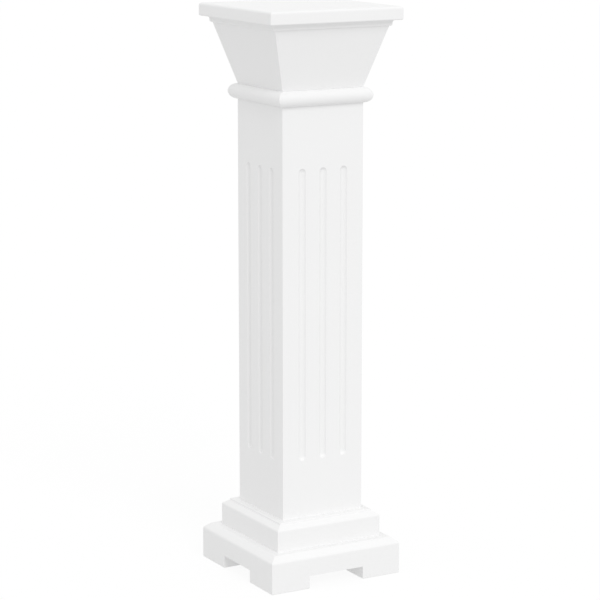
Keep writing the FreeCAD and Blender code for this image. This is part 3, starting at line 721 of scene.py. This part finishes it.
def make_bed_board(sizes):
    """A board whose upright edge flares into a small cove under the top.

    The cove is a quarter circle about a centre on the outline, one radius below the top: the centre plus
    the radius times (cosine, sine) of an angle from 0 to 90 degrees, as inset and height.
    """
    low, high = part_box("bed_board")
    cove = sizes.bed_cove_radius
    lower = eased_line([(cove + COVERED_RUN, low.z), (cove, low.z), (cove, high.z - cove)],
                       [sizes.bed_edge_radius])
    angle = np.linspace(0, math.pi / 2, ROUND_STEPS + 1)[1:, None]
    hollow = (0, high.z - cove) + cove * np.concatenate((np.cos(angle), np.sin(angle)), axis=1)
    profile = np.concatenate((lower, hollow, [(COVERED_RUN, high.z)]))
    piece = board("lacquered_bed_board", "bed_board", profile, sizes.panel_corner_radius)
    hand_over(piece, "painted_board", lacquer(), "bed_board")


def make_top_board(sizes):
    low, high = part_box("top_board")
    lower, upper = sizes.top_lower_radius, sizes.top_upper_radius
    profile = eased_line([(2 * upper, low.z), (0, low.z), (0, high.z), (2 * upper, high.z)], [lower, upper])
    piece = board("lacquered_top_board", "top_board", profile, sizes.top_corner_radius)
    hand_over(piece, "painted_board", lacquer(), "top_board")


def square_places(spread):
    return [(x * spread, y * spread) for x, y in ((-1, -1), (1, -1), (1, 1), (-1, 1))]


def base_screw_spread():
    """From the stand's middle plane to a base screw's middle line."""
    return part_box("base_screws")[1].x - BASE_HEAD_RADIUS


def screw_grids(head_radius, total, pan_height, pitch):
    """One screw with its head's outer face at height 0 and its point at the total length.

    The face is a square grid squeezed into a disc: x goes to x times the root of (1 - y squared / 2), and y
    likewise. Its cross recess is deepest at the middle and shallow at the ends of its four wings. Below
    the face, the grid's rim shrinks along the screw to the head's, the shank's and the point's radius. A
    thread stands on the shank as a ridge that climbs one pitch in a turn.
    """
    line = np.linspace(-1, 1, HEAD_STEPS + 1)
    across, along = np.meshgrid(line, line, indexing="ij")
    x = across * np.sqrt(1 - along ** 2 / 2)
    y = along * np.sqrt(1 - across ** 2 / 2)
    wing = np.clip((WING_HALF_WIDTH - np.minimum(abs(x), abs(y))) / WING_WALL, 0, 1)
    reach = np.clip((WING_REACH - np.maximum(abs(x), abs(y))) / WING_RISE, 0, 1)
    crown = CROWN_SHARE * pan_height * (x ** 2 + y ** 2)
    face = np.stack((x * head_radius, y * head_radius,
                     crown + RECESS_DEPTH * head_radius * wing * np.sqrt(reach)), axis=-1)
    rim = np.concatenate((face[:-1, 0], face[-1, :-1], face[:0:-1, -1], face[0, :0:-1]))
    shank = SHANK_SHARE * head_radius
    core = CORE_SHARE * shank
    neck = pan_height or head_radius - shank
    threaded = max(neck + 2 * pitch, total - THREADED_LENGTH)
    rows = int((total - threaded) / pitch * THREAD_STEPS)
    height = np.concatenate(([rim[0, 2], neck, neck, threaded], np.linspace(threaded, total, rows + 1)[1:]))
    body = np.interp(height, (neck, threaded, threaded + pitch, total - 2 * shank, total),
                     (shank, shank, core, core, TIP_SHARE * shank))
    body[:2] = (head_radius, head_radius if pan_height else shank)
    angle = np.arctan2(rim[:, 1], rim[:, 0])
    phase = height[:, None] / pitch - angle / (2 * math.pi)
    ridge = np.clip(1 - 3 * abs(phase % 1 - 0.5), 0, 1) * (shank - core)
    fade = np.interp(height, (threaded, threaded + pitch, total - 2 * shank, total), (0, 1, 1, 0))
    radius = body[:, None] + ridge * fade[:, None]
    direction = rim[:, :2] / head_radius
    thread = np.concatenate((radius[..., None] * direction,
                             np.broadcast_to(height[:, None, None], (*radius.shape, 1))), axis=-1)
    return face, thread


def make_screws(sizes):
    """The four kinds of screw, each kind one piece. A foot or base screw points up, the others down."""
    foot_places = [place for corner in CORNERS
                   for place in foot_screw_places(f"foot_{corner}", sizes.foot_screw_inset)]
    for node, head_radius in HEAD_RADII.items():
        low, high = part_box(node)
        upward = node in ("foot_screws", "base_screws")
        pan_height = PAN_HEIGHT if node == "base_screws" else 0.0
        places = foot_places if node == "foot_screws" else square_places(high.x - head_radius)
        face, thread = screw_grids(head_radius, high.z - low.z, pan_height, sizes.thread_pitch)
        flip = (1, 1, 1) if upward else (1, -1, -1)
        start = low.z if upward else high.z
        faces = [face * flip + (x, y, start) for x, y in places]
        threads = [thread * flip + (x, y, start) for x, y in places]
        points = [[grid[-1]] for grid in threads]
        piece = build(f"plated_{node}", sheets=faces, tubes=threads, flats=points)
        plate = finished("bright_zinc_plate", zinc_plate, bpy.context.scene.stand_finish)
        hand_over(piece, "screw_steel", plate, node)


# ---------------------------------------------------------------------------
# Operators
# ---------------------------------------------------------------------------

class STAND_OT_base(bpy.types.Operator):
    """Build the four feet and the two plinth boards"""

    bl_idname = "stand.base"
    bl_label = "Base"

    def execute(self, context):
        sizes = context.scene.stand_sizes
        make_feet(sizes)
        make_lower_plinth(sizes)
        make_upper_plinth(sizes)
        return {"FINISHED"}


class STAND_OT_shaft(bpy.types.Operator):
    """Build the shaft's four fluted panels"""

    bl_idname = "stand.shaft"
    bl_label = "Shaft panels"

    def execute(self, context):
        make_shaft_panels(context.scene.stand_sizes)
        return {"FINISHED"}


class STAND_OT_collar(bpy.types.Operator):
    """Build the bullnosed collar"""

    bl_idname = "stand.collar"
    bl_label = "Collar"

    def execute(self, context):
        make_collar(context.scene.stand_sizes)
        return {"FINISHED"}


class STAND_OT_capital(bpy.types.Operator):
    """Build the capital's four leaning panels"""

    bl_idname = "stand.capital"
    bl_label = "Capital panels"

    def execute(self, context):
        make_capital_panels(context.scene.stand_sizes)
        return {"FINISHED"}


class STAND_OT_top(bpy.types.Operator):
    """Build the bed board and the top board"""

    bl_idname = "stand.top"
    bl_label = "Top boards"

    def execute(self, context):
        sizes = context.scene.stand_sizes
        make_bed_board(sizes)
        make_top_board(sizes)
        return {"FINISHED"}


class STAND_OT_screws(bpy.types.Operator):
    """Build all the screws, with their cross recesses and threads"""

    bl_idname = "stand.screws"
    bl_label = "Screws"

    def execute(self, context):
        make_screws(context.scene.stand_sizes)
        return {"FINISHED"}


class STAND_OT_inner_wood(bpy.types.Operator):
    """Give the hidden battens, blocks and dowels their bare finishes"""

    bl_idname = "stand.inner_wood"
    bl_label = "Inner wood"

    def execute(self, context):
        finish = context.scene.stand_finish
        softwood = planed_wood("planed_softwood", finish.softwood_early, finish.softwood_late,
                               band_width=3 * MM, roughness=0.6)
        beech = planed_wood("turned_beech", finish.dowel_early, finish.dowel_late,
                            band_width=1.2 * MM, roughness=0.5)
        fibreboard = bare_fibreboard(finish)
        finishes = {"raw_board": fibreboard, "softwood": softwood, "dowel_wood": beech}
        for part in frame["record"]["subparts"]:
            if part["material_slot"] in finishes:
                mesh = frame["nodes"][part["node"]].data
                mesh.materials.clear()
                mesh.materials.append(finishes[part["material_slot"]])
        return {"FINISHED"}


class STAND_OT_stage(bpy.types.Operator):
    """Set up the floor, the light and the camera"""

    bl_idname = "stand.stage"
    bl_label = "Stage"

    def execute(self, context):
        stage = context.scene.stand_stage
        make_floor(stage)
        make_light(stage)
        make_camera(stage)
        context.scene.view_settings.view_transform = "Standard"
        return {"FINISHED"}


def make_floor(stage):
    """A flat square, far wider than the view."""
    reach = stage.floor_size / 2
    mesh = bpy.data.meshes.new("floor")
    level = CAD_LOW.z - FLOOR_GAP
    mesh.from_pydata([(-reach, -reach, level), (reach, -reach, level), (reach, reach, level),
                      (-reach, reach, level)], [], [(0, 1, 2, 3)])
    mesh.materials.append(floor_white(stage))
    floor = bpy.data.objects.new("floor", mesh)
    bpy.context.scene.collection.objects.link(floor)


def aimed(thing, place, target):
    """Puts a camera or a lamp at a place and turns it to look at a target."""
    thing.location = place
    thing.rotation_euler = (Vector(target) - Vector(place)).to_track_quat("-Z", "Y").to_euler()
    bpy.context.scene.collection.objects.link(thing)


def make_light(stage):
    """An even sky, which the camera sees as white, and one wide soft lamp in front of the stand."""
    world = bpy.data.worlds.new("even_sky")
    world.use_nodes = True
    tree = world.node_tree
    tree.nodes.clear()
    strength = add_node(tree, "ShaderNodeMapRange",
                        {"Value": looked_at(tree), "To Min": stage.sky_level, "To Max": 1.0})
    sky = add_node(tree, "ShaderNodeBackground",
                   {"Color": WHITE, "Strength": strength.outputs["Result"]})
    add_node(tree, "ShaderNodeOutputWorld", {"Surface": sky.outputs["Background"]})
    bpy.context.scene.world = world
    lamp = bpy.data.lights.new("key_light", "SUN")
    lamp.energy = stage.key_level
    lamp.angle = stage.key_spread
    middle = (CAD_LOW + CAD_HIGH) / 2
    level = math.cos(stage.key_height)
    towards = Vector((math.sin(stage.key_azimuth) * level, -math.cos(stage.key_azimuth) * level,
                      math.sin(stage.key_height)))
    aimed(bpy.data.objects.new("key_light", lamp), middle + LAMP_DISTANCE * towards, middle)


def make_camera(stage):
    """The camera stands on the photographed side and looks down at the stand's middle line."""
    lens = bpy.data.cameras.new("camera")
    lens.lens = stage.focal_length
    lens.sensor_width = SENSOR_WIDTH
    place = Vector((math.sin(stage.azimuth) * stage.distance, -math.cos(stage.azimuth) * stage.distance,
                    stage.height))
    target = Vector((0, 0, stage.height - math.tan(stage.tilt) * stage.distance))
    camera = bpy.data.objects.new("camera", lens)
    aimed(camera, place, target)
    bpy.context.scene.camera = camera


class VIEW3D_PT_stand(bpy.types.Panel):
    """Operators and sizes of the pedestal column stand"""

    bl_idname = "VIEW3D_PT_stand"
    bl_label = "Pedestal Column Stand"
    bl_space_type = "VIEW_3D"
    bl_region_type = "UI"
    bl_category = "Stand"

    def draw(self, context):
        for operator in OPERATORS:
            self.layout.operator(operator.bl_idname)
        for group in (context.scene.stand_sizes, context.scene.stand_finish, context.scene.stand_stage):
            box = self.layout.box()
            for name in group.bl_rna.properties.keys():
                if name not in ("rna_type", "name"):
                    box.prop(group, name)


OPERATORS = (STAND_OT_stage, STAND_OT_base, STAND_OT_shaft, STAND_OT_collar, STAND_OT_capital, STAND_OT_top,
             STAND_OT_screws, STAND_OT_inner_wood)
GROUPS = {"stand_sizes": StandSizes, "stand_finish": StandFinish, "stand_stage": StandStage}
CLASSES = (*GROUPS.values(), *OPERATORS, VIEW3D_PT_stand)


def register():
    for each in CLASSES:
        bpy.utils.register_class(each)
    for name, group in GROUPS.items():
        setattr(bpy.types.Scene, name, PointerProperty(type=group))


def unregister():
    for name in GROUPS:
        delattr(bpy.types.Scene, name)
    for each in reversed(CLASSES):
        bpy.utils.unregister_class(each)


def main():
    register()
    bpy.ops.stand.stage()
    bpy.ops.stand.base()
    bpy.ops.stand.shaft()
    bpy.ops.stand.collar()
    bpy.ops.stand.capital()
    bpy.ops.stand.top()
    bpy.ops.stand.screws()
    bpy.ops.stand.inner_wood()


if __name__ == "__main__":
    main()
